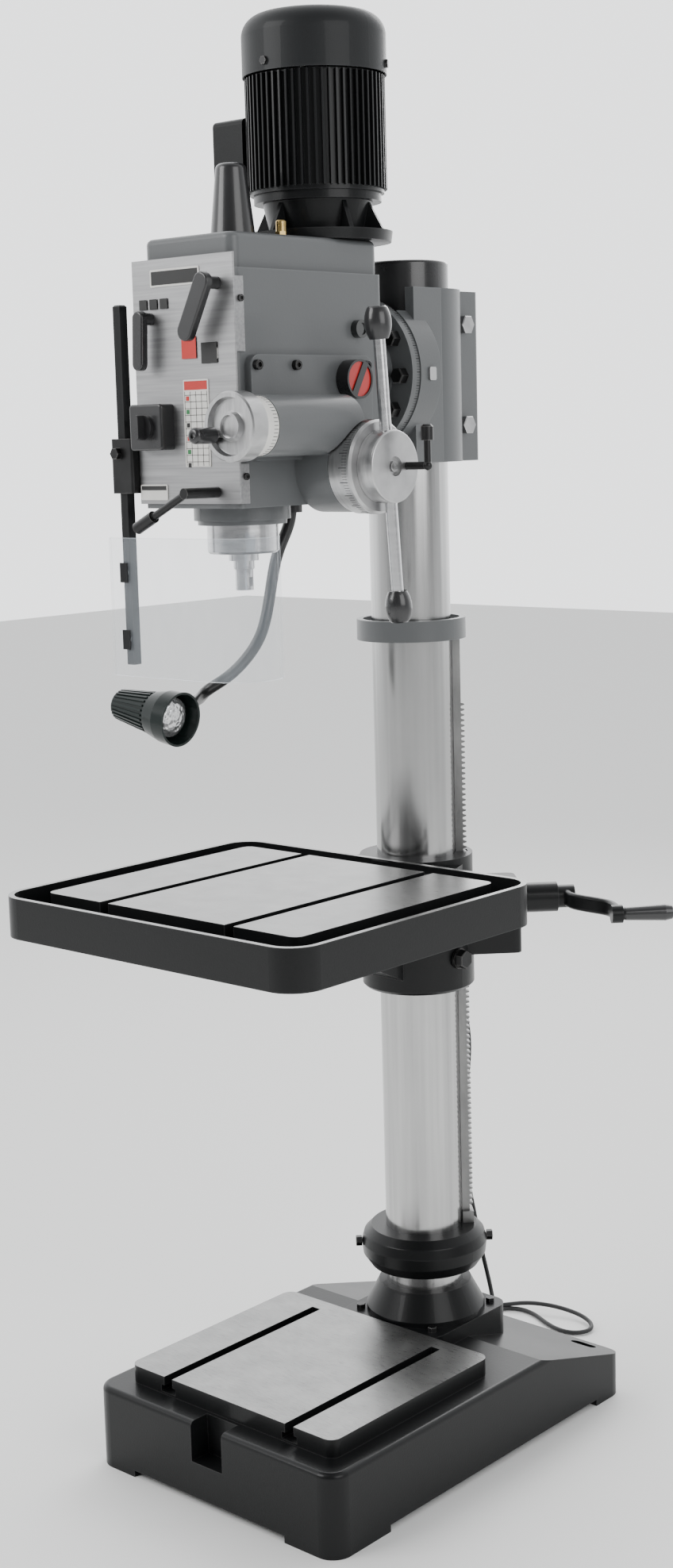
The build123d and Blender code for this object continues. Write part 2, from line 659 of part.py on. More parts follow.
# The drive gear turns with the spindle, which slides through its bore.
SPINDLE_TOP_R = 12
with BuildPart() as spindle_gear:
    with BuildSketch(level(CHAMBER_Z[0] + 0.3, 0, SPINDLE_Y)):
        Circle(24)
    extrude(amount=GEAR_Z[1] - CHAMBER_Z[0] + 12)
    with BuildSketch(Plane(origin=(0, SPINDLE_Y, GEAR_Z[0]), x_dir=(0, 1, 0), z_dir=(0, 0, 1))):
        with BuildLine():
            Polyline(*gear_points(SPINDLE_TEETH, GEAR_MODULE, 180 / SPINDLE_TEETH), close=True)
        make_face()
    extrude(amount=GEAR_Z[1] - GEAR_Z[0])
    with BuildSketch(level(CHAMBER_Z[0], 0, SPINDLE_Y)):
        Circle(SPINDLE_TOP_R + 0.4)
    extrude(amount=60, mode=Mode.SUBTRACT)
out("spindle_gear", spindle_gear)

# Quill and spindle -----------------------------------------------------------------------------
QUILL_BORE = 32
with BuildPart() as quill:
    with BuildSketch(level(QUILL_BOTTOM, 0, SPINDLE_Y)):
        Circle(QUILL_R)
        Circle(QUILL_BORE, mode=Mode.SUBTRACT)
    extrude(amount=QUILL_TOP - QUILL_BOTTOM)
    chamfer(quill.edges().group_by(Axis.Z)[0].sort_by(SortBy.LENGTH)[-1], 3)
    feed_pitch_r = FEED_TEETH * RACK_MODULE / 2
    quill_pitch = FEED_Y - SPINDLE_Y - feed_pitch_r
    start = FEED_Z - 4 * pi * RACK_MODULE
    with BuildSketch(Plane(origin=(-12, SPINDLE_Y, 0), x_dir=(0, 1, 0), z_dir=(1, 0, 0))):
        for tooth in range(-1, 22):
            gap = start + tooth * pi * RACK_MODULE
            root = quill_pitch - 1.2 * RACK_MODULE
            with BuildLine():
                Polyline((root, gap - 1.7), (root, gap + 1.7), (QUILL_R + 1, gap + 3.1),
                         (QUILL_R + 1, gap - 3.1), close=True)
            make_face()
    extrude(amount=24, mode=Mode.SUBTRACT)
out("quill", quill)

with BuildPart() as spindle:
    with BuildSketch(Plane.XZ.offset(-SPINDLE_Y)):
        with BuildLine():
            Polyline((0, 1300), (9, 1262), (9, 1259), (12, 1259), (12, 1286), (14, 1287), (14, 1298),
                     (20, 1298), (20, 1307.5), (31.9, 1308.5), (31.9, 1326), (20, 1326), (20, 1540),
                     (SPINDLE_TOP_R, 1540), (SPINDLE_TOP_R, 1700), (0, 1700), close=True)
        make_face()
    revolve(axis=Axis((0, SPINDLE_Y, 0), (0, 0, 1)))
    with Locations((0, SPINDLE_Y, 1270)):
        Box(30, 6, 12, mode=Mode.SUBTRACT)
out("spindle", spindle)


# Small fittings on the deck and the right side.
with BuildPart() as spindle_cup:
    with BuildSketch(Plane.XZ.offset(-SPINDLE_Y)):
        with BuildLine():
            Polyline((27, COVER_TOP + 0.05), (29.5, COVER_TOP + 0.05), (20, 1800))
            RadiusArc((20, 1800), (12, 1807), -8)
            Polyline((12, 1807), (0, 1807), (0, 1804), (12, 1804), (17.4, 1798), (27, COVER_TOP + 0.05))
        make_face()
    revolve(axis=Axis((0, SPINDLE_Y, 0), (0, 0, 1)))
out("spindle_cup", spindle_cup)

with BuildPart() as oil_breather:
    with BuildSketch(level(COVER_TOP + 0.05, 38, -292)):
        RegularPolygon(8, 6)
    extrude(amount=8)
    with BuildSketch(level(COVER_TOP + 8, 38, -292)):
        Circle(7)
    extrude(amount=15)
    fillet(oil_breather.edges().group_by(Axis.Z)[-1], 3)
out("oil_breather", oil_breather)

with BuildPart() as sight_glass:
    with BuildSketch(side_plane(88.05, -205, 1596)):
        Circle(12)
    extrude(amount=10)
    with BuildSketch(side_plane(96, -205, 1596)):
        Circle(8)
    extrude(amount=2.1, mode=Mode.SUBTRACT)
out("sight_glass", sight_glass)

# Feed ------------------------------------------------------------------------------------------
# Cast box on the head's right side, the pinion shaft, its hub with two handles, and the handwheel.
FEED_BOX_X = (88.05, 145)
DIAL_X = (146, 184.7)
HUB_X = (185, 210)
DIAL_R = 60
with BuildPart() as feed_box:
    with BuildSketch(side_plane(FEED_BOX_X[0], -305.5, 1495)):
        RectangleRounded(231, 132, 14)
    extrude(amount=12)
    with BuildSketch(side_plane(FEED_BOX_X[0], FEED_Y, FEED_Z)):
        Circle(58)
    extrude(amount=FEED_BOX_X[1] - FEED_BOX_X[0])
    with BuildSketch(front_plane(WORM_X, -290, WORM_Z)):
        Circle(38)
    extrude(amount=158)
    with BuildSketch(side_plane(FEED_BOX_X[0], -358, WORM_Z)):
        Rectangle(126, 76)
    extrude(amount=WORM_X - FEED_BOX_X[0])
    with BuildSketch(side_plane(FEED_BOX_X[1] + 0.7, FEED_Y, FEED_Z)):
        Circle(DIAL_R + 1.5)
    extrude(amount=60, mode=Mode.SUBTRACT)
    with BuildSketch(side_plane(80, FEED_Y, FEED_Z)):
        Circle(9 + RUNNING)
    extrude(amount=80, mode=Mode.SUBTRACT)
    with BuildSketch(front_plane(WORM_X, -340, WORM_Z)):
        Circle(9 + RUNNING)
    extrude(amount=120, mode=Mode.SUBTRACT)
    with BuildSketch(side_plane(80, -237, 1530)):
        Circle(6 + RUNNING)
    extrude(amount=30, mode=Mode.SUBTRACT)
out("feed_box", feed_box)

with BuildPart() as feed_box_screws:
    for y, z in ((-412, 1548), (-340, 1548), (-204, 1548), (-204, 1470)):
        add(screw(side_plane(100.1, y, z), 13, 7, socket=True))
with BuildPart() as head_fasteners:
    for group in (swivel_bolts, panel_screws, fan_cover_screws, feed_box_screws):
        add(group.part)
out("head_fasteners", head_fasteners)

with BuildPart() as feed_shaft:
    with BuildSketch(side_plane(-66, FEED_Y, FEED_Z)):
        Circle(9)
    extrude(amount=HUB_X[0] + 66)
    with BuildSketch(Plane(origin=(-9, FEED_Y, FEED_Z), x_dir=(0, -1, 0), z_dir=(1, 0, 0))):
        with BuildLine():
            Polyline(*gear_points(FEED_TEETH, RACK_MODULE), close=True)
        make_face()
    extrude(amount=18)

with BuildPart() as depth_dial:
    with BuildSketch(side_plane(DIAL_X[0], FEED_Y, FEED_Z)):
        Circle(DIAL_R)
        Circle(9 + RUNNING, mode=Mode.SUBTRACT)
    extrude(amount=DIAL_X[1] - DIAL_X[0])
    rim = depth_dial.edges().filter_by(GeomType.CIRCLE).group_by(Axis.X)[-1]
    chamfer(rim.sort_by(SortBy.LENGTH)[-1], 3)
    with BuildSketch(side_plane(DIAL_X[0], FEED_Y, FEED_Z)):
        Circle(DIAL_R)
        Circle(DIAL_R - 2, mode=Mode.SUBTRACT)
    extrude(amount=6, mode=Mode.SUBTRACT)
out("depth_dial", depth_dial)

HANDLE_X = 198
HANDLE_REACH = 180
handle_way = Vector(0, -sin(radians(4.5)), cos(radians(4.5)))
hub_centre = Vector(HANDLE_X, FEED_Y, FEED_Z)
with BuildPart() as feed_hub:
    with BuildSketch(side_plane(HUB_X[0], FEED_Y, FEED_Z)):
        Circle(46.5)
    extrude(amount=HUB_X[1] - HUB_X[0])
    fillet(feed_hub.edges().filter_by(GeomType.CIRCLE).group_by(Axis.X)[-1], 2.5)
    with BuildSketch(side_plane(HUB_X[1], FEED_Y, FEED_Z)):
        Circle(12.5)
    extrude(amount=-6, mode=Mode.SUBTRACT)
    with BuildSketch(side_plane(HUB_X[1], FEED_Y + 23, FEED_Z)):
        Circle(5 + RUNNING)
    extrude(amount=-8, mode=Mode.SUBTRACT)
    for sign in (1, -1):
        with BuildSketch(Plane(origin=hub_centre + handle_way * sign * 26, z_dir=handle_way * sign)):
            Circle(7.75)
        extrude(amount=40, mode=Mode.SUBTRACT)
    add(screw(side_plane(HUB_X[1] - 6, FEED_Y, FEED_Z), 14, 5, socket=True))
    add(feed_shaft.part)
out("feed_hub", feed_hub)

with BuildPart() as feed_handles:
    for sign in (1, -1):
        with BuildSketch(Plane(origin=hub_centre + handle_way * sign * 26, z_dir=handle_way * sign)):
            Circle(7.75)
        extrude(amount=HANDLE_REACH - 20 - 26)
out("feed_handles", feed_handles)

with BuildPart() as handle_knobs:
    for sign in (1, -1):
        place = Plane(origin=hub_centre + handle_way * sign * (HANDLE_REACH - 20), z_dir=handle_way * sign)
        across = Vector(1, 0, 0).cross(place.z_dir)
        with BuildSketch(Plane(origin=place.origin, x_dir=(1, 0, 0), z_dir=across)):
            with BuildLine():
                Polyline((0, 0.02), (12, 0.02), (13, 2))
                ThreePointArc((13, 2), (17.5, 21), (13, 39))
                Polyline((13, 39), (11, 41), (0, 41), (0, 0.02))
            make_face()
        revolve(axis=Axis(place.origin, place.z_dir))
out("handle_knobs", handle_knobs)

with BuildPart() as dial_lock:
    with BuildSketch(side_plane(HUB_X[1] - 7.7, FEED_Y + 23, FEED_Z)):
        Circle(5)
    extrude(amount=41)
    with Locations((HUB_X[1] + 34, FEED_Y + 23, FEED_Z)):
        Sphere(6)
    with BuildSketch(level(FEED_Z, HUB_X[1] + 34, FEED_Y + 23)):
        Circle(4.5)
    extrude(amount=34)
    with BuildSketch(level(FEED_Z + 32, HUB_X[1] + 34, FEED_Y + 23)):
        Circle(8)
    extrude(amount=20)
    chamfer(dial_lock.edges().group_by(Axis.Z)[-1], 3)
out("dial_lock", dial_lock)

with BuildPart() as handwheel:
    with BuildSketch(side_plane(0, 0, 0).offset(WORM_X)):
        with BuildLine():
            Polyline((-500, WORM_Z + 14), (-500, WORM_Z + 17), (-493, WORM_Z + 19), (-493, WORM_Z + 34),
                     (-500, WORM_Z + 36), (-500, WORM_Z + 41), (-498, WORM_Z + 43), (-474, WORM_Z + 43),
                     (-472, WORM_Z + 41), (-472, WORM_Z + 15), (-448.5, WORM_Z + 15), (-448.5, WORM_Z + 9),
                     (-342, WORM_Z + 9), (-342, WORM_Z), (-496, WORM_Z), (-496, WORM_Z + 14), close=True)
        make_face()
    revolve(axis=Axis((WORM_X, 0, WORM_Z), (0, 1, 0)))
    with BuildSketch(front_plane(WORM_X - 27, -490, WORM_Z - 10)):
        Circle(3.5)
    extrude(amount=42)
out("handwheel", handwheel)

with BuildPart() as handwheel_dial:
    with BuildSketch(front_plane(WORM_X, -448.6, WORM_Z)):
        Circle(37)
        Circle(15 + RUNNING, mode=Mode.SUBTRACT)
    extrude(amount=22)
out("handwheel_dial", handwheel_dial)

with BuildPart() as handwheel_knob:
    with BuildSketch(front_plane(WORM_X - 27, -500.3, WORM_Z - 10)):
        Circle(10)
        Circle(3.5 + RUNNING, mode=Mode.SUBTRACT)
    extrude(amount=35)
    fillet(handwheel_knob.edges().group_by(Axis.Y)[0].sort_by(SortBy.LENGTH)[-1], 5)
out("handwheel_knob", handwheel_knob)

with BuildPart() as feed_selector:
    with BuildSketch(side_plane(64, -237, 1530)):
        Circle(6)
    extrude(amount=38)
    with BuildSketch(side_plane(100.4, -237, 1530)):
        Circle(25.5)
    extrude(amount=20)
    with BuildSketch(side_plane(120.4, -237, 1530)):
        Circle(22.5)
        Rectangle(10, 46, rotation=-30, mode=Mode.SUBTRACT)
    extrude(amount=-5, mode=Mode.SUBTRACT)
out("feed_selector", feed_selector)

with BuildPart() as selector_disc:
    with BuildSketch(side_plane(115.4, -237, 1530)):
        Circle(22.5)
        Rectangle(10, 46, rotation=-30, mode=Mode.SUBTRACT)
    extrude(amount=3)
out("selector_disc", selector_disc)

# Front controls --------------------------------------------------------------------------------
with BuildPart() as panel_plates:
    for x, z, wide, high in ((19.5, 1478, 45, 110), (-12, 1662, 89, 22), (-64, 1391, 50, 20),
                             (11, 1573, 14, 14), (53, 1564, 14, 14)):
        with BuildSketch(front_plane(x, PANEL_FRONT - 0.05, z)):
            RectangleRounded(wide, high, 2)
        extrude(amount=1.2)
out("panel_plates", panel_plates)

with BuildPart() as switch_box:
    with BuildSketch(front_plane(-53, PANEL_FRONT - 0.05, 1474.5)):
        RectangleRounded(60, 59, 5)
    extrude(amount=23)
    fillet(switch_box.edges().group_by(Axis.Y)[0], 3)
    with BuildSketch(front_plane(-53, PANEL_FRONT - 24, 1474.5)):
        Circle(4 + RUNNING)
    extrude(amount=-11, mode=Mode.SUBTRACT)
out("switch_box", switch_box)

with BuildPart() as switch_knob:
    with BuildSketch(front_plane(-53, PANEL_FRONT - 14, 1474.5)):
        Circle(4)
    extrude(amount=12)
    with BuildSketch(front_plane(-53, PANEL_FRONT - 23.4, 1474.5)):
        Circle(16)
    extrude(amount=5)
    with BuildSketch(front_plane(-53, PANEL_FRONT - 28.4, 1474.5)):
        RectangleRounded(9, 32, 4)
    extrude(amount=12)
out("switch_knob", switch_knob)


def selector_lever(pivot, end, wide, stand):
    """A flat lever on a pivot stud: returns the plane of its grip and its length."""
    way = Vector(end[0] - pivot[0], 0, end[1] - pivot[1])
    middle = Vector((pivot[0] + end[0]) / 2, PANEL_FRONT - stand, (pivot[1] + end[1]) / 2)
    return Plane(origin=middle, x_dir=way.normalized(), z_dir=(0, -1, 0)), way.length + wide


LEVERS = {"range_lever": ((62, 1650), (31, 1592), 25, 20),
          "speed_lever": ((-60, 1612), (-63, 1556), 19, 14)}
for name, (pivot, end, wide, stand) in LEVERS.items():
    grip_place, grip_length = selector_lever(pivot, end, wide, stand)
    with BuildPart() as lever:
        with BuildSketch(front_plane(pivot[0], PANEL_FRONT - 0.4, pivot[1])):
            Circle(8)
        extrude(amount=stand)
        with BuildSketch(grip_place):
            RectangleRounded(grip_length, wide, wide / 2 - 0.5)
        extrude(amount=10)
        fillet(lever.edges().group_by(Axis.Y)[0], 2.5)
    out(name, lever)

with BuildPart() as quill_lock:
    with BuildSketch(front_plane(51, PANEL_FRONT - 0.4, 1391)):
        Circle(7)
    extrude(amount=60)
    lock_way = Vector(-95, 3, -44)
    with BuildSketch(Plane(origin=(51, -494, 1391), z_dir=lock_way)):
        Circle(5)
    extrude(amount=70)
    with BuildSketch(Plane(origin=Vector(51, -494, 1391) + lock_way * 0.66, z_dir=lock_way)):
        Circle(8)
    extrude(amount=36)
out("quill_lock", quill_lock)

# Guard -----------------------------------------------------------------------------------------
POST = 13
GUARD_Z = (1148, 1332)
SHEET_Y = -447
CLIP_Z = (1286, 1197)
with BuildPart() as guard_bracket:
    with BuildSketch(level(1390)):
        with Locations((-112, GUARD_POST[1])):
            RectangleRounded(40, 27, 4)
        with Locations(GUARD_POST):
            Rectangle(POST + 0.12, POST + 0.12, mode=Mode.SUBTRACT)
    extrude(amount=71)
    add(screw(front_plane(GUARD_POST[0], GUARD_POST[1] - 13.5, 1442), 14, 8))
out("guard_bracket", guard_bracket)

with BuildPart() as guard_rod:
    with BuildSketch(level(1163, *GUARD_POST)):
        Rectangle(POST, POST)
    extrude(amount=470)
    chamfer(guard_rod.edges().group_by(Axis.Z)[-1], 2)
    # Each strap in front of the shield is held by a stud through the sheet and a side screw.
    for z in CLIP_Z:
        with Locations((GUARD_POST[0], SHEET_Y - 3.2, z)):
            Box(POST, 2.2, 26)
        with BuildSketch(front_plane(GUARD_POST[0], GUARD_POST[1], z)):
            Circle(3)
        extrude(amount=GUARD_POST[1] - SHEET_Y + 3)
        add(screw(Plane(origin=(GUARD_POST[0] - POST / 2, GUARD_POST[1], z), z_dir=(-1, 0, 0)), 12, 8))
out("guard_rod", guard_rod)

with BuildPart() as guard_shield:
    with BuildSketch(level(GUARD_Z[0])):
        with BuildLine():
            Line((-146, SHEET_Y), (38, SHEET_Y))
            TangentArc((38, SHEET_Y), (82, -362), tangent=(1, 0))
        trace(line_width=4)
    extrude(amount=GUARD_Z[1] - GUARD_Z[0])
    for z in CLIP_Z:
        with BuildSketch(front_plane(GUARD_POST[0], SHEET_Y + 3, z)):
            Circle(3 + RUNNING)
        extrude(amount=6, mode=Mode.SUBTRACT)
out("guard_shield", guard_shield)


# Lamp ------------------------------------------------------------------------------------------
LAMP_FACE = Vector(-81, -392, 1085)
LAMP_WAY = Vector(0.96, 0.03, -0.12).normalized()
LAMP_LENGTH = 118
lamp_rear = LAMP_FACE - LAMP_WAY * LAMP_LENGTH
lamp_side = Vector(0, 0, 1).cross(LAMP_WAY).normalized()
neck_end = LAMP_FACE - LAMP_WAY * 66 + lamp_side * 30
NECK = [(-24, -222, 1369.7), (-26, -226, 1340), (-33, -240, 1305), (-32, -256, 1266), (-28, -272, 1225),
        (-32, -284, 1190), (-45, -300, 1160), (-66, -318, 1135), (-92, -332, 1116), tuple(neck_end)]
with BuildPart() as lamp_gooseneck:
    with BuildLine() as neck_line:
        Spline(*NECK, tangents=[(0, 0, -1), -lamp_side])
    with BuildSketch(Plane(origin=NECK[0], z_dir=(0, 0, -1))):
        Circle(8)
    sweep(path=neck_line.line)
    with BuildSketch(level(1369.7, NECK[0][0], NECK[0][1])):
        Circle(15)
    extrude(amount=-14)
out("lamp_gooseneck", lamp_gooseneck)

with BuildPart() as lamp_head:
    with BuildSketch(Plane(origin=lamp_rear, x_dir=LAMP_WAY, z_dir=lamp_side)):
        with BuildLine():
            Polyline((0, 0), (0, 17), (3, 19.5), (70, 28), (74, 31.5), (96, 36.5), (LAMP_LENGTH, 37.5),
                     (LAMP_LENGTH, 34.5), (96, 33), (60, 24.5), (60, 0), close=True)
        make_face()
    revolve(axis=Axis(lamp_rear, LAMP_WAY))
    with BuildSketch(Plane(origin=neck_end - lamp_side * 0.05, z_dir=-lamp_side)):
        Circle(11)
    extrude(amount=8)
out("lamp_head", lamp_head)

with BuildPart() as lamp_bulb:
    with BuildSketch(Plane(origin=lamp_rear + LAMP_WAY * 60.1, x_dir=LAMP_WAY, z_dir=lamp_side)):
        with BuildLine():
            Polyline((0, 0), (0, 13), (8, 15), (35, 29), (41, 27), (46, 20), (49, 11), (50, 0), close=True)
        make_face()
    revolve(axis=Axis(lamp_rear, LAMP_WAY))
out("lamp_bulb", lamp_bulb)

# Power cord ------------------------------------------------------------------------------------
# It hangs from the gland of the box on the yoke's rear side, makes one loop on the floor and ends in a coil.
BOX_SIZE = (48, 50, 100)
BOX_CENTRE = (-69.1, 87, 1540)
GLAND = (-72, 87, 1490)
COIL_CENTRE = (-150, 250)
COIL_R = 38
with BuildPart() as electrical_box:
    with Locations(BOX_CENTRE):
        Box(*BOX_SIZE)
    fillet(electrical_box.edges().filter_by(Axis.X), 6)
out("electrical_box", electrical_box)

with BuildPart() as cord_gland:
    with BuildSketch(level(GLAND[2] - 0.05, GLAND[0], GLAND[1])):
        RegularPolygon(10, 6)
    extrude(amount=-8)
    with BuildSketch(level(GLAND[2] - 8, GLAND[0], GLAND[1])):
        Circle(8)
    extrude(amount=-16, taper=12)
out("cord_gland", cord_gland)

CORD = [(-72, 87, 1466), (-72, 90, 1386), (-71, 97, 1296), (-48, 119, 700), (-26, 128, 610), (-8, 131, 540),
        (-14, 130, 465), (-28, 128, 395), (-25, 131, 325), (-15, 138, 262), (-18, 160, 185), (-26, 194, 104),
        (-38, 218, 58), (-60, 240, 22),
        (-84, 262, 6), (-102, 288, 4), (-98, 317, 4), (-73, 334, 4), (-40, 331, 4), (-6, 314, 4), (29, 303, 4),
        (58, 309, 4), (72, 332, 5), (60, 354, 6), (32, 365, 9), (0, 364, 12), (-30, 355, 15), (-62, 342, 15),
        (-92, 324, 10), (-118, 302, 6), (-150, 290, 4.5)]
cord_points = [Vector(*p) for p in CORD]
cord_radii = []
for before, point, after in zip(cord_points, cord_points[1:], cord_points[2:]):
    first, second = point - before, after - point
    turn = radians(first.get_angle(second))
    cord_radii.append(0.45 * min(first.length, second.length) / tan(turn / 2))
with BuildPart() as power_cord:
    with BuildLine() as cord_line:
        FilletPolyline(*cord_points, radius=cord_radii)
    with BuildSketch(Plane(origin=cord_points[0], z_dir=cord_line.line % 0)):
        Circle(CORD_D / 2)
    sweep(path=cord_line.line)
out("power_cord", power_cord)

with BuildPart() as cord_coil:
    with BuildSketch(level(0.3, *COIL_CENTRE)):
        Circle(COIL_R + 7)
        Circle(COIL_R - 10, mode=Mode.SUBTRACT)
    extrude(amount=16)
    fillet(cord_coil.edges().filter_by(GeomType.CIRCLE), 4)
out("cord_coil", cord_coil)

PLUG_START = (-184, 282, 12)
with BuildPart() as plug:
    with BuildSketch(Plane(origin=PLUG_START, x_dir=(0, 1, 0), z_dir=(-1, 0, 0))):
        Circle(6)
    extrude(amount=14)
    with BuildSketch(Plane(origin=(PLUG_START[0] - 14, PLUG_START[1], 15), x_dir=(0, 1, 0),
                           z_dir=(-1, 0, 0))):
        RectangleRounded(34, 26, 10)
    extrude(amount=34)
    for y, z in ((-7, 15), (7, 15)):
        with Locations((PLUG_START[0] - 48 - 9, PLUG_START[1] + y, z)):
            Box(18, 1.6, 6.5)
out("plug", plug)
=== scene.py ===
import json
from math import cos, pi, radians, sin

import bmesh
import bpy
from mathutils import Matrix, Vector

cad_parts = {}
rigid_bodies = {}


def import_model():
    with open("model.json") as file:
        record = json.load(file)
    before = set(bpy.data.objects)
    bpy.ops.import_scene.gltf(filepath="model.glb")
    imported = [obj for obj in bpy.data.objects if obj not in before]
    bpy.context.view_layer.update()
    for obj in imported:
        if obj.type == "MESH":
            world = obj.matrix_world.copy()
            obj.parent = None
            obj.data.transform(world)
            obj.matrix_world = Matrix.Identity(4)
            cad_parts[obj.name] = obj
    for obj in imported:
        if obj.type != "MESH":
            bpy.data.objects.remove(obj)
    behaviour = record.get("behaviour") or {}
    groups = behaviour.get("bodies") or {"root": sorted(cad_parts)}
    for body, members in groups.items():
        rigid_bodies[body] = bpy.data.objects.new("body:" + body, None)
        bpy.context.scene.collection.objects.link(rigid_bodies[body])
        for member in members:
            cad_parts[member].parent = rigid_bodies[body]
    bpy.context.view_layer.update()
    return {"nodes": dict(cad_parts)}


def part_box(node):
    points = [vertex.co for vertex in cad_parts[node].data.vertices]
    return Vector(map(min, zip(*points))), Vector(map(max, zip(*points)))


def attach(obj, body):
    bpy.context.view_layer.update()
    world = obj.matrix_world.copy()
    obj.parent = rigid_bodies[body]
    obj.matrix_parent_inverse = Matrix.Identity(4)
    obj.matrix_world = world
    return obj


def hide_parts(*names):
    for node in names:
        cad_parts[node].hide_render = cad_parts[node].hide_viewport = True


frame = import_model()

nodes = frame["nodes"]


# Camera ----------------------------------------------------------------------------------------
# It stands to the front right of the machine at chest height, a little rolled, and looks
# slightly down on the table.
CAMERA_AT = Vector((1.9841, -2.3806, 1.4581))
YAW, PITCH, ROLL = radians(41.93), radians(9.27), radians(1.57)
sight = Vector((-sin(YAW) * cos(PITCH), cos(YAW) * cos(PITCH), -sin(PITCH)))
level_right = Vector((cos(YAW), sin(YAW), 0))
sight_down = sight.cross(level_right)
right = level_right * cos(ROLL) + sight_down * sin(ROLL)
down = sight_down * cos(ROLL) - level_right * sin(ROLL)
camera = bpy.data.objects.new("camera", bpy.data.cameras.new("camera"))
bpy.context.scene.collection.objects.link(camera)
camera.data.sensor_fit = "VERTICAL"
camera.data.sensor_height = 36
camera.data.lens = 49.03
camera.matrix_world = Matrix((
    (right.x, -down.x, -sight.x, CAMERA_AT.x),
    (right.y, -down.y, -sight.y, CAMERA_AT.y),
    (right.z, -down.z, -sight.z, CAMERA_AT.z),
    (0, 0, 0, 1)))
bpy.context.scene.camera = camera


# Finishes --------------------------------------------------------------------------------------
# Each finish is a node tree built from plain expressions: a wrapped socket adds Math nodes, and
# every other node comes from the one method below.
class Socket:
    """A node's output or a number, with arithmetic that adds Math nodes."""

    def __init__(self, tree, link):
        self.tree = tree
        self.link = link

    def math(self, kind, *values):
        return self.tree.node("ShaderNodeMath", {"operation": kind}, dict(enumerate(values)))

    def __add__(self, other):
        return self.math("ADD", self, other)

    def __sub__(self, other):
        return self.math("SUBTRACT", self, other)

    def __rsub__(self, other):
        return self.math("SUBTRACT", other, self)

    def __mul__(self, other):
        return self.math("MULTIPLY", self, other)

    def __gt__(self, other):
        return self.math("GREATER_THAN", self, other)

    def __lt__(self, other):
        return self.math("LESS_THAN", self, other)

    __radd__ = __add__
    __rmul__ = __mul__


class Finish:
    """A material whose surface shader is filled in by name."""

    def __init__(self, name):
        self.material = bpy.data.materials.new(name)
        self.material.use_nodes = True
        self.nodes = self.material.node_tree.nodes
        self.links = self.material.node_tree.links
        self.shader = self.nodes["Principled BSDF"]

    def node(self, kind, settings=None, values=None, out=0):
        made = self.nodes.new(kind)
        for key, value in (settings or {}).items():
            if key == "stops":
                for stop, (place, colour) in zip(made.color_ramp.elements, value):
                    stop.position = place
                    stop.color = (*colour, 1)
            else:
                setattr(made, key, value)
        for key, value in (values or {}).items():
            self.fill(made.inputs[key], value)
        return Socket(self, made.outputs[out])

    def fill(self, socket, value):
        if isinstance(value, Socket):
            self.links.new(value.link, socket)
        elif isinstance(value, tuple) and len(value) == 3 and socket.type == "RGBA":
            socket.default_value = (*value, 1)
        else:
            socket.default_value = value

    def place(self, scale=(1, 1, 1)):
        spot = self.node("ShaderNodeTexCoord", out=3)
        return self.node("ShaderNodeMapping", {}, {"Vector": spot, "Scale": scale})

    def noise(self, size, detail=4.0, scale=(1, 1, 1)):
        return self.node("ShaderNodeTexNoise", {},
                         {"Vector": self.place(scale), "Scale": size, "Detail": detail})

    def ramp(self, factor, low, high):
        return self.node("ShaderNodeValToRGB", {"stops": (low, high)}, {"Fac": factor})

    def mix(self, factor, first, second):
        return self.node("ShaderNodeMix", {"data_type": "RGBA"}, {0: factor, 6: first, 7: second}, out=2)

    def bump(self, height, strength, distance):
        return self.node("ShaderNodeBump", {},
                         {"Height": height, "Strength": strength, "Distance": distance})

    def edge_wear_and_highlight_mask(self, radius, low=0.02, high=0.12):
        """A mask that is 1 along sharp edges: the rounded normal against the true one."""
        soft = self.node("ShaderNodeBevel", {"samples": 4}, {"Radius": radius})
        true = self.node("ShaderNodeNewGeometry", out=1)
        agree = self.node("ShaderNodeVectorMath", {"operation": "DOT_PRODUCT"}, {0: soft, 1: true}, out=1)
        return self.node("ShaderNodeMapRange", {}, {"Value": 1 - agree, "From Min": low, "From Max": high})

    def set(self, **values):
        for key, value in values.items():
            self.fill(self.shader.inputs[key.replace("_", " ")], value)
        return self.material


def dress(material, *names):
    """Gives CAD nodes their finish."""
    for name in names:
        for holder in nodes[name].material_slots:
            holder.material = material


# Castings --------------------------------------------------------------------------------------
# The base, the collars and the crank are sand castings in black paint. The paint is thick and a
# little orange-peeled, rubbed brighter at the edges.
def painted(name, colour, rough, grain, edge, dust=0.25, shine=0.2):
    finish = Finish(name)
    cloud = finish.noise(6.0, 5.0)
    speck = finish.noise(grain, 3.0)
    worn = finish.edge_wear_and_highlight_mask(0.0025)
    pale = tuple(c * 1.5 + 0.004 for c in colour)
    body = finish.mix(cloud * dust, colour, pale)
    tone = finish.mix(worn * edge, body, tuple(c * 2.4 + 0.02 for c in colour))
    bump = finish.bump(speck, 0.16, 0.0006)
    roughness = cloud * 0.16 + (rough - 0.08)
    return finish.set(Base_Color=tone, Roughness=roughness, Normal=bump, Coat_Weight=0.08,
                      Specular_IOR_Level=shine)


cast_black = painted("cast black paint", (0.005, 0.0054, 0.0058), 0.34, 420.0, 0.6, 0.5)
dress(cast_black, "column_socket", "lower_rack_collar", "table_crank")


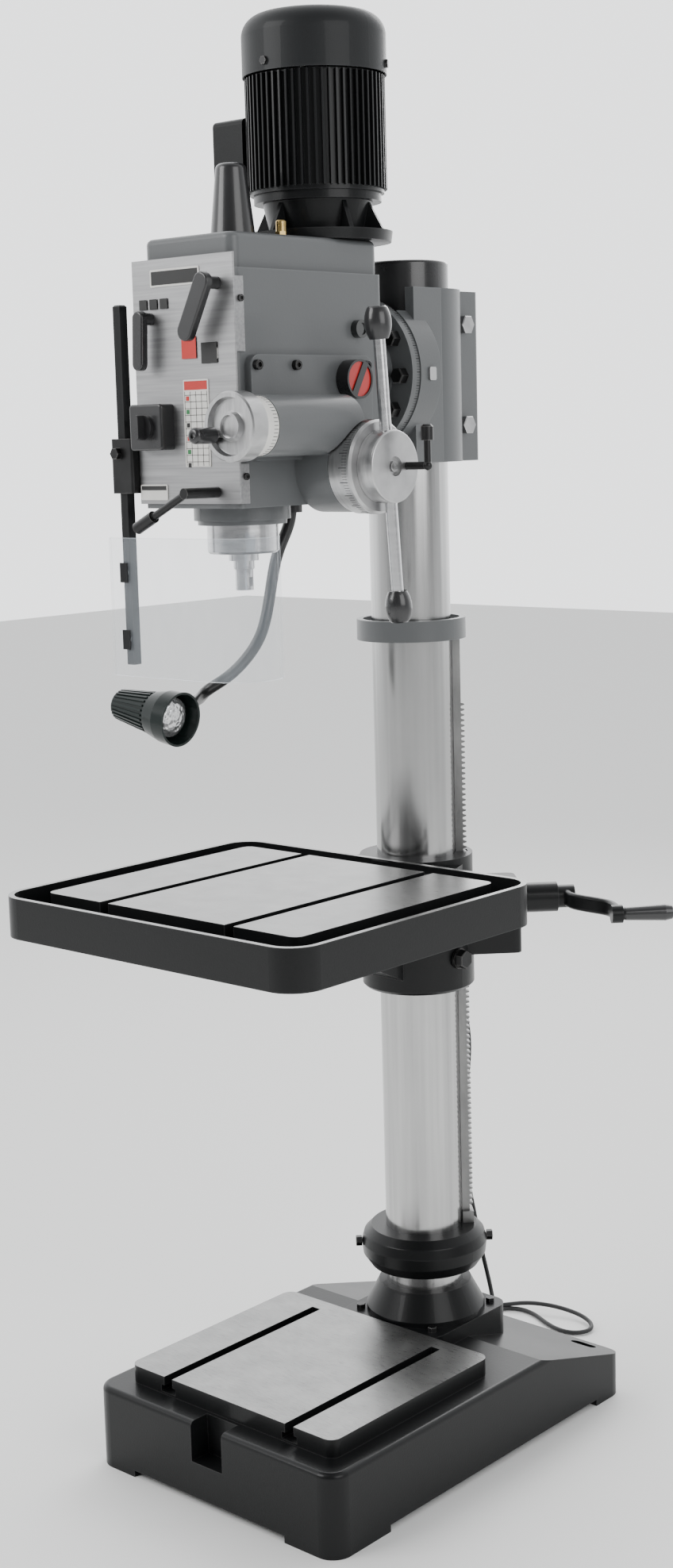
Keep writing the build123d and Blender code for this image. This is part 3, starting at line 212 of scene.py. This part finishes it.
# Ground faces ----------------------------------------------------------------------------------
# The table's and base's working faces are ground bright after painting, so the metal shows only
# where the grinder reached: on the level faces above the painted rim.
def ground_casting(name, face_z):
    finish = Finish(name)
    spot = finish.place()
    z = finish.node("ShaderNodeSeparateXYZ", {}, {"Vector": spot}, out=2)
    up = finish.node("ShaderNodeNewGeometry", out=1)
    rise = finish.node("ShaderNodeSeparateXYZ", {}, {"Vector": up}, out=2)
    level_mask = (rise > 0.9) * (z > face_z - 0.0006)
    cloud = finish.noise(7.0, 6.0)
    speck = finish.noise(420.0, 3.0)
    streak = finish.noise(60.0, 6.0, (1, 14, 1))
    swirl = finish.noise(26.0, 8.0)
    worn = finish.edge_wear_and_highlight_mask(0.0025)
    paint = finish.mix(cloud * 0.5, (0.004, 0.0044, 0.0048), (0.012, 0.0125, 0.013))
    paint = finish.mix(worn * 0.5, paint, (0.07, 0.07, 0.07))
    steel = finish.ramp(streak * 0.6 + swirl * 0.4, (0.3, (0.2, 0.2, 0.2)), (0.75, (0.36, 0.36, 0.355)))
    tone = finish.mix(level_mask, paint, steel)
    rough = level_mask * (streak * 0.2 + 0.2) + (1 - level_mask) * (cloud * 0.15 + 0.27)
    bump = finish.bump((1 - level_mask) * speck + level_mask * streak * 0.25, 0.22, 0.0006)
    return finish.set(Base_Color=tone, Roughness=rough, Metallic=level_mask * 0.9, Normal=bump,
                      Coat_Weight=(1 - level_mask) * 0.08, Specular_IOR_Level=0.22)


dress(ground_casting("table casting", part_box("table")[1].z), "table")
dress(ground_casting("base casting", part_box("base")[1].z), "base")


# Column and rack -------------------------------------------------------------------------------
# The column is a steel tube ground between centres and oiled. Its streaks are set round it and
# run along its length: painted reflections of the studio, light and dark. The rack is milled and left bare.
def metal(name, low, high, rough, streak_scale, size=40.0, stain=0.25):
    finish = Finish(name)
    streak = finish.noise(size, 7.0, streak_scale)
    cloud = finish.noise(9.0, 5.0)
    # Where the streaks are stretched along the length, as on the column, these tones are painted reflection
    # bands; elsewhere they are machining marks.
    tone = finish.ramp(streak, (0.25, low), (0.8, high))
    tone = finish.mix(cloud * stain, tone, tuple(c * 0.55 for c in low))
    bump = finish.bump(streak, 0.12, 0.0003)
    roughness = streak * 0.16 + cloud * 0.1 + (rough - 0.1)
    return finish.set(Base_Color=tone, Metallic=1.0, Roughness=roughness, Normal=bump)


# The column's streaks are stretched along its length, so the light and dark bands in its colour are painted
# reflections of the studio.
column_steel_painted_reflections = metal("ground column steel, painted reflection bands", (0.42, 0.42, 0.42), (0.62, 0.62, 0.615), 0.19,
                     (1, 1, 0.02), 90.0)
milled_steel = metal("milled rack steel", (0.2, 0.2, 0.2), (0.34, 0.34, 0.335), 0.42, (1, 1, 0.3), 60.0)
machined = metal("machined steel", (0.32, 0.32, 0.32), (0.55, 0.55, 0.55), 0.3, (1, 1, 6), 50.0)
dress(column_steel_painted_reflections, "column")
dress(milled_steel, "rack")
dress(machined, "lift_gear", "motor_rotor", "idler_gear", "spindle_gear")


# Head paint ------------------------------------------------------------------------------------
# The gearbox, the yoke, the feed box and the rack's upper ring are filled and sprayed mid grey.
grey_paint = painted("head grey paint", (0.105, 0.11, 0.113), 0.36, 300.0, 0.3, 0.2, 0.4)
motor_paint = painted("motor paint", (0.006, 0.0065, 0.007), 0.34, 360.0, 0.5, 0.35)
cover_paint = painted("fan cover paint", (0.014, 0.015, 0.016), 0.5, 360.0, 0.4, 0.3)
dress(grey_paint, "head_housing", "gearbox_cover", "yoke", "feed_box", "upper_rack_ring")
dress(motor_paint, "motor_adaptor", "motor_frame", "terminal_box", "electrical_box", "guard_rod")
dress(cover_paint, "fan_cover")


# Fasteners -------------------------------------------------------------------------------------
# Screws and clamps are oil-blacked steel: darker than paint, with a dull sheen and bright corners.
def blacked_steel():
    finish = Finish("oil-blacked steel")
    cloud = finish.noise(30.0, 4.0)
    worn = finish.edge_wear_and_highlight_mask(0.0012)
    tone = finish.mix(cloud, (0.018, 0.018, 0.019), (0.045, 0.045, 0.045))
    tone = finish.mix(worn * 0.7, tone, (0.24, 0.235, 0.23))
    return finish.set(Base_Color=tone, Metallic=0.85, Roughness=cloud * 0.15 + 0.27)


dress(blacked_steel(), "column_fasteners", "head_fasteners", "table_clamp_bolt", "dial_lock",
      "quill_lock", "guard_bracket")


# Bright parts ----------------------------------------------------------------------------------
# The quill, the spindle and the feed handles are hard chromed and the yoke's clamp bolts are
# zinc plated. The hub, the dials and the handwheel are turned from aluminium, the front panel is
# brushed sheet.
chrome = metal("hard chrome", (0.5, 0.5, 0.51), (0.68, 0.68, 0.69), 0.16, (1, 1, 5), 30.0, 0.12)
turned = metal("turned aluminium", (0.42, 0.42, 0.425), (0.6, 0.6, 0.6), 0.3, (6, 1, 1), 40.0, 0.1)
brushed = metal("brushed panel sheet", (0.3, 0.3, 0.305), (0.44, 0.44, 0.445), 0.4,
                (0.03, 1, 1), 260.0, 0.1)
brass = metal("plain brass", (0.42, 0.29, 0.1), (0.62, 0.46, 0.2), 0.26, (1, 1, 4), 30.0, 0.3)
zinc = metal("zinc plate", (0.4, 0.4, 0.41), (0.58, 0.58, 0.58), 0.32, (1, 1, 1), 60.0, 0.3)
dress(chrome, "quill", "spindle", "feed_handles")
dress(zinc, "yoke_clamp_bolts")
dress(turned, "feed_hub", "depth_dial", "handwheel", "tilt_pointer")
dress(brushed, "front_panel")
dress(brass, "oil_breather")


# Mouldings -------------------------------------------------------------------------------------
# Knobs, levers and caps are pressed black phenolic, glossy where hands polish them.
def moulded(name, colour, rough, coat):
    finish = Finish(name)
    cloud = finish.noise(18.0, 4.0)
    grain = finish.noise(700.0, 2.0)
    tone = finish.mix(cloud * 0.4, colour, tuple(c * 1.8 + 0.01 for c in colour))
    return finish.set(Base_Color=tone, Roughness=cloud * 0.18 + rough, Coat_Weight=coat,
                      Normal=finish.bump(grain, 0.08, 0.0003))


phenolic = moulded("black phenolic", (0.012, 0.012, 0.013), 0.2, 0.35)
cord_rubber = moulded("cord rubber", (0.016, 0.016, 0.017), 0.45, 0.0)
dress(phenolic, "column_cap", "crank_grip", "spindle_cup", "handle_knobs", "handwheel_knob", "feed_selector",
      "switch_box", "switch_knob", "range_lever", "speed_lever", "cord_gland")
dress(moulded("red enamel", (0.42, 0.012, 0.01), 0.25, 0.4), "selector_disc")
dress(moulded("dial enamel", (0.62, 0.61, 0.58), 0.35, 0.2), "handwheel_dial", "panel_plates")
dress(moulded("dark sight glass", (0.01, 0.012, 0.012), 0.06, 0.8), "sight_glass")
dress(cord_rubber, "power_cord", "cord_coil", "plug")
dress(moulded("gooseneck sleeve", (0.007, 0.007, 0.0075), 0.24, 0.2), "lamp_gooseneck")


# Guard and lamp --------------------------------------------------------------------------------
# The guard is bent polycarbonate, faintly blue and scuffed, with a painted highlight along its cut edges, which
# are painted whiter and more opaque.
# The lamp is a fluted enamelled cone round a silvered, faceted reflector.
def shield_plastic():
    finish = Finish("clear guard sheet")
    scuff = finish.noise(45.0, 8.0, (1, 1, 0.3))
    edge = finish.edge_wear_and_highlight_mask(0.002)
    facing = finish.node("ShaderNodeNewGeometry", out=1)
    rise = finish.node("ShaderNodeSeparateXYZ", {}, {"Vector": facing}, out=2)
    across = finish.node("ShaderNodeSeparateXYZ", {}, {"Vector": facing}, out=0)
    cut = (rise > 0.9) + (rise < -0.9) + (across < -0.9)
    # Painted highlight: the edges are mixed towards white here, and made more opaque below, so they read
    # bright.
    tone = finish.mix(edge, (0.74, 0.8, 0.86), (0.9, 0.95, 1.0))
    return finish.set(Base_Color=tone, Roughness=scuff * 0.2 + 0.03, IOR=1.5, Coat_Weight=0.4,
                      Alpha=cut * 0.55 + edge * 0.3 + scuff * 0.1 + 0.05)


def reflector_glass():
    finish = Finish("faceted reflector")
    facets = finish.node("ShaderNodeTexVoronoi", {}, {"Vector": finish.place(), "Scale": 160.0})
    cloud = finish.noise(60.0, 3.0)
    tone = finish.mix(cloud, (0.6, 0.61, 0.62), (0.82, 0.82, 0.82))
    return finish.set(Base_Color=tone, Metallic=0.8, Roughness=cloud * 0.15 + 0.1, Coat_Weight=0.6,
                      Normal=finish.bump(facets, 0.5, 0.003))


dress(shield_plastic(), "guard_shield")
dress(reflector_glass(), "lamp_bulb")
lamp_enamel = painted("lamp enamel", (0.007, 0.012, 0.011), 0.24, 200.0, 0.5, 0.3)
dress(lamp_enamel, "lamp_head")


# Power cord ------------------------------------------------------------------------------------
# A limp rubber lead on the electrical box beside the yoke: it hangs down the back of the column,
# makes one loop on the floor and is put away in a coil that ends in its plug.
CORD_D = 0.007
COIL_AT = Vector((-0.150, 0.250, 0))
COIL_TURNS = 4
POINTS_A_TURN = 16
OUTER_R = 0.0405
INNER_STEP = 0.0074
WANDER = 0.0006
LOWER_Z = 0.0042
UPPER_STEP = 0.0076
PLUG_ENTRY_Z = 0.012
ROUTE = [(-72, 87, 1466), (-72, 90, 1386), (-71, 97, 1296), (-48, 119, 700), (-26, 128, 610), (-8, 131, 540),
         (-14, 130, 465), (-28, 128, 395), (-25, 131, 325), (-15, 138, 262), (-18, 160, 185), (-26, 194, 104),
         (-38, 218, 58), (-60, 240, 22),
         (-84, 262, 6), (-102, 288, 4), (-98, 317, 4), (-73, 334, 4), (-40, 331, 4), (-6, 314, 4), (29, 303, 4),
         (58, 309, 4), (72, 332, 5), (60, 354, 6), (32, 365, 9), (0, 364, 12), (-30, 355, 15), (-62, 342, 15),
         (-92, 324, 10), (-118, 302, 6), (-150, 290, 4.5)]
cord_line = [Vector(p) * 0.001 for p in ROUTE]
for step in range(1, COIL_TURNS * POINTS_A_TURN):
    turn = step / POINTS_A_TURN
    angle = pi / 2 + 2 * pi * turn
    inner = 1 if 1 <= turn < 3 else 0
    high = 1 if turn >= 2 else 0
    reach = OUTER_R - INNER_STEP * inner + WANDER * sin(2.7 * angle)
    height = LOWER_Z + UPPER_STEP * high
    cord_line.append(COIL_AT + Vector((reach * cos(angle), reach * sin(angle), height)))
for end in ((-0.158, 0.2895), (-0.172, 0.2848), (-0.184, 0.282)):
    cord_line.append(Vector((*end, PLUG_ENTRY_Z)))
cord_curve = bpy.data.curves.new("power lead", "CURVE")
cord_curve.dimensions = "3D"
cord_spline = cord_curve.splines.new("NURBS")
cord_spline.points.add(len(cord_line) - 1)
for knot, point in zip(cord_spline.points, cord_line):
    knot.co = (*point, 1)
cord_spline.order_u = 3
cord_spline.use_endpoint_u = True
cord_spline.resolution_u = 8
cord_curve.bevel_depth = CORD_D / 2
cord_curve.bevel_resolution = 4
cord_curve.use_fill_caps = True
cord_curve.materials.append(cord_rubber)
power_lead = bpy.data.objects.new("power_lead", cord_curve)
bpy.context.scene.collection.objects.link(power_lead)
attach(power_lead, "pillar")
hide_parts("power_cord", "cord_coil")


# Depth dial ------------------------------------------------------------------------------------
# The dial's rim carries engraved divisions filled with black, one long mark in every five.
class Builder:
    """A Geometry Nodes tree with named inputs, run once and turned into a plain mesh."""

    def __init__(self, name, **sizes):
        self.tree = bpy.data.node_groups.new(name, "GeometryNodeTree")
        self.tree.interface.new_socket("Geometry", in_out="OUTPUT", socket_type="NodeSocketGeometry")
        self.sizes = sizes
        self.ids = {}
        for key, value in sizes.items():
            kind = "NodeSocketInt" if isinstance(value, int) else "NodeSocketFloat"
            self.ids[key] = self.tree.interface.new_socket(key, in_out="INPUT", socket_type=kind).identifier
        self.entry = self.tree.nodes.new("NodeGroupInput")

    def size(self, key):
        return self.entry.outputs[key]

    def node(self, kind, settings=None, values=None, out=0):
        made = self.tree.nodes.new(kind)
        for key, value in (settings or {}).items():
            setattr(made, key, value)
        for key, value in (values or {}).items():
            socket = made.inputs[key]
            if isinstance(value, bpy.types.NodeSocket):
                self.tree.links.new(value, socket)
            else:
                socket.default_value = value
        return made.outputs[out]

    def piece(self, name, geometry, material, body, place=Matrix.Identity(4)):
        real = self.node("GeometryNodeRealizeInstances", {}, {"Geometry": geometry})
        dressed = self.node("GeometryNodeSetMaterial", {}, {"Geometry": real, "Material": material})
        exit_node = self.tree.nodes.new("NodeGroupOutput")
        self.tree.links.new(dressed, exit_node.inputs[0])
        holder = bpy.data.objects.new(name, bpy.data.meshes.new(name))
        bpy.context.scene.collection.objects.link(holder)
        modifier = holder.modifiers.new(name, "NODES")
        modifier.node_group = self.tree
        for key, value in self.sizes.items():
            modifier[self.ids[key]] = value
        shape = bpy.data.meshes.new_from_object(holder.evaluated_get(bpy.context.evaluated_depsgraph_get()))
        holder.modifiers.clear()
        holder.data = shape
        shape.transform(place)
        if place.determinant() < 0:
            shape.flip_normals()
        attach(holder, body)
        return holder


def mark_ring(name, count, radius, length, width, lift, material, body, place, lean=0.0):
    """Short bars round a circle, each along the circle's axis or leaning out from it."""
    tree = Builder(name, Count=count, Radius=radius, Length=length, Width=width, Lift=lift, Lean=lean)
    ring = tree.node("GeometryNodeMeshCircle", {},
                     {"Vertices": tree.size("Count"), "Radius": tree.size("Radius")})
    points = tree.node("GeometryNodeMeshToPoints", {}, {"Mesh": ring})
    bar_size = tree.node("ShaderNodeCombineXYZ", {},
                         {0: tree.size("Lift"), 1: tree.size("Width"), 2: tree.size("Length")})
    cube = tree.node("GeometryNodeMeshCube", {}, {"Size": bar_size})
    slant = tree.node("ShaderNodeCombineXYZ", {}, {1: tree.size("Lean")})
    bar = tree.node("GeometryNodeTransform", {}, {"Geometry": cube, "Rotation": slant})
    spot = tree.node("GeometryNodeInputPosition")
    turn = tree.node("FunctionNodeAlignEulerToVector", {"axis": "X"}, {"Vector": spot})
    marks = tree.node("GeometryNodeInstanceOnPoints", {},
                      {"Points": points, "Instance": bar, "Rotation": turn})
    return tree.piece(name, marks, material, body, place)


ink = moulded("engraving ink", (0.012, 0.012, 0.012), 0.5, 0.0)
dial_low, dial_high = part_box("depth_dial")
dial_middle = (dial_low + dial_high) / 2
axis_x = Matrix.Rotation(pi / 2, 4, "Y")
dial_r = (dial_high.z - dial_low.z) / 2
mark_ring("dial_fine_marks", 100, dial_r, 0.008, 0.0005, 0.0004, ink, "depth_dial",
          Matrix.Translation((dial_high.x - 0.0105, dial_middle.y, dial_middle.z)) @ axis_x)
mark_ring("dial_long_marks", 20, dial_r, 0.013, 0.0008, 0.0005, ink, "depth_dial",
          Matrix.Translation((dial_high.x - 0.013, dial_middle.y, dial_middle.z)) @ axis_x)


# Handwheel dial --------------------------------------------------------------------------------
# A white enamelled collar behind the fine-feed handwheel, with black divisions on its rim.
collar_low, collar_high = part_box("handwheel_dial")
collar_middle = (collar_low + collar_high) / 2
axis_y = Matrix.Rotation(-pi / 2, 4, "X")
collar_r = (collar_high.z - collar_low.z) / 2
mark_ring("collar_marks", 50, collar_r, 0.007, 0.0007, 0.0004, ink, "handwheel_dial",
          Matrix.Translation((collar_middle.x, collar_middle.y + 0.006, collar_middle.z)) @ axis_y)


# Tilt scale ------------------------------------------------------------------------------------
# The head's swivel flange carries a mark for every two degrees of tilt, each fifth one broader,
# read at the pointer.
FLANGE_R = 0.104
MARK_LENGTH = 0.006
flange = Matrix.Translation((0, -0.0976, 1.540)) @ axis_y
mark_ring("tilt_fine_marks", 180, FLANGE_R, MARK_LENGTH, 0.0006, 0.0005, ink, "head", flange)
mark_ring("tilt_long_marks", 36, FLANGE_R, MARK_LENGTH, 0.0014, 0.0006, ink, "head", flange)


# Lamp flutes -----------------------------------------------------------------------------------
# The rear of the lamp's cone is fluted along its length for cooling, up to the plain bezel.
LAMP_FACE = Vector((-0.081, -0.392, 1.085))
LAMP_WAY = Vector((0.96, 0.03, -0.12)).normalized()
flute_middle = Matrix.Translation(LAMP_FACE - LAMP_WAY * 0.081)
mark_ring("lamp_flutes", 26, 0.0240, 0.064, 0.0026, 0.0034, lamp_enamel, "head",
          flute_middle @ LAMP_WAY.to_track_quat("Z", "Y").to_matrix().to_4x4(), radians(7.2))


# Chart and labels ------------------------------------------------------------------------------
# The speed chart is a printed plate: a red heading over ruled rows and columns, with coloured
# squares down one side. A red and a black patch mark the range lever's two positions, and three
# dark tabs those of the speed lever.
def printed(name, colour, at, wide, high):
    """A printed patch, two tenths of a millimetre proud of the plate behind it."""
    mesh = bpy.data.meshes.new(name)
    shape = bmesh.new()
    bmesh.ops.create_cube(shape, size=1.0)
    for corner in shape.verts:
        corner.co = Vector((corner.co.x * wide, corner.co.y * 0.0004, corner.co.z * high)) + Vector(at)
    bmesh.ops.bevel(shape, geom=list(shape.edges), offset=0.0001, segments=1, affect="EDGES")
    shape.to_mesh(mesh)
    shape.free()
    mesh.materials.append(colour)
    patch = bpy.data.objects.new(name, mesh)
    bpy.context.scene.collection.objects.link(patch)
    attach(patch, "head")
    return patch


plate_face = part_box("panel_plates")[0].y - 0.0002
red_ink = moulded("red ink", (0.45, 0.02, 0.015), 0.45, 0.0)
CHART_X = 0.0195
CHART_WIDE = 0.041
FIRST_RULE_Z = 1.5135
ROW_STEP = 0.0084
COLUMN_STEP = 0.01
printed("chart_heading", red_ink, (CHART_X, plate_face, 1.5255), CHART_WIDE, 0.011)
for row in range(11):
    printed(f"chart_rule_{row}", ink, (CHART_X, plate_face, FIRST_RULE_Z - row * ROW_STEP), CHART_WIDE, 0.0006)
for column in range(5):
    printed(f"chart_column_{column}", ink, (-0.0005 + column * COLUMN_STEP, plate_face, 1.471), 0.0005, 0.094)
green_ink = moulded("green ink", (0.02, 0.16, 0.05), 0.45, 0.0)
for row, colour in enumerate((red_ink, green_ink, ink, red_ink, green_ink, ink)):
    printed(f"chart_square_{row}", colour, (0.0045, plate_face, 1.5093 - row * 0.0168), 0.0055, 0.0055)
printed("range_label_red", red_ink, (0.010, plate_face, 1.573), 0.026, 0.028)
printed("range_label_black", ink, (0.046, plate_face, 1.565), 0.028, 0.026)
for tab in range(3):
    printed(f"speed_label_{tab}", ink, (-0.071 + tab * 0.019, plate_face, 1.630), 0.014, 0.013)
printed("header_band", ink, (-0.012, plate_face, 1.662), 0.084, 0.017)
printed("lower_label_band", ink, (-0.064, plate_face, 1.3965), 0.046, 0.0055)


# Floor and lights ------------------------------------------------------------------------------
# A plain pale floor, a large soft key from the front left and two fills.
floor_mesh = bpy.data.meshes.new("floor")
floor_shape = bmesh.new()
bmesh.ops.create_grid(floor_shape, x_segments=1, y_segments=1, size=12.0)
floor_shape.to_mesh(floor_mesh)
floor_shape.free()
floor = bpy.data.objects.new("floor", floor_mesh)
bpy.context.scene.collection.objects.link(floor)
floor_finish = Finish("pale floor")
floor_mesh.materials.append(floor_finish.set(Base_Color=(0.88, 0.88, 0.87), Roughness=0.8))

# The studio is bright behind the machine and dimmer in front, which gives the steel its contrast.
world = bpy.data.worlds.new("studio")
bpy.context.scene.world = world
world.use_nodes = True
sky = world.node_tree
way_out = sky.nodes.new("ShaderNodeTexCoord")
facing = sky.nodes.new("ShaderNodeVectorMath")
facing.operation = "DOT_PRODUCT"
facing.inputs[1].default_value = (-0.67, 0.74, 0.0)
glow = sky.nodes.new("ShaderNodeMapRange")
for socket, value in (("From Min", -0.5), ("From Max", 0.7), ("To Min", 0.3), ("To Max", 2.4)):
    glow.inputs[socket].default_value = value
sky.links.new(way_out.outputs["Generated"], facing.inputs[0])
sky.links.new(facing.outputs["Value"], glow.inputs["Value"])
sky.links.new(glow.outputs["Result"], sky.nodes["Background"].inputs["Strength"])
sky.nodes["Background"].inputs["Color"].default_value = (0.93, 0.94, 0.95, 1)


def soft_light(name, at, aim, size, power):
    """A square area light at a point, turned to face another."""
    light = bpy.data.lights.new(name, "AREA")
    light.size = size
    light.energy = power
    lamp = bpy.data.objects.new(name, light)
    bpy.context.scene.collection.objects.link(lamp)
    way = (Vector(aim) - Vector(at)).to_track_quat("-Z", "Y")
    lamp.matrix_world = Matrix.Translation(at) @ way.to_matrix().to_4x4()


soft_light("key", (-1.6, -3.4, 3.2), (0, -0.2, 1.1), 2.2, 95)
soft_light("fill", (3.4, -0.8, 2.4), (0, -0.2, 1.0), 2.4, 60)
soft_light("back", (-1.2, 2.8, 3.0), (0, 0, 1.2), 2.0, 55)
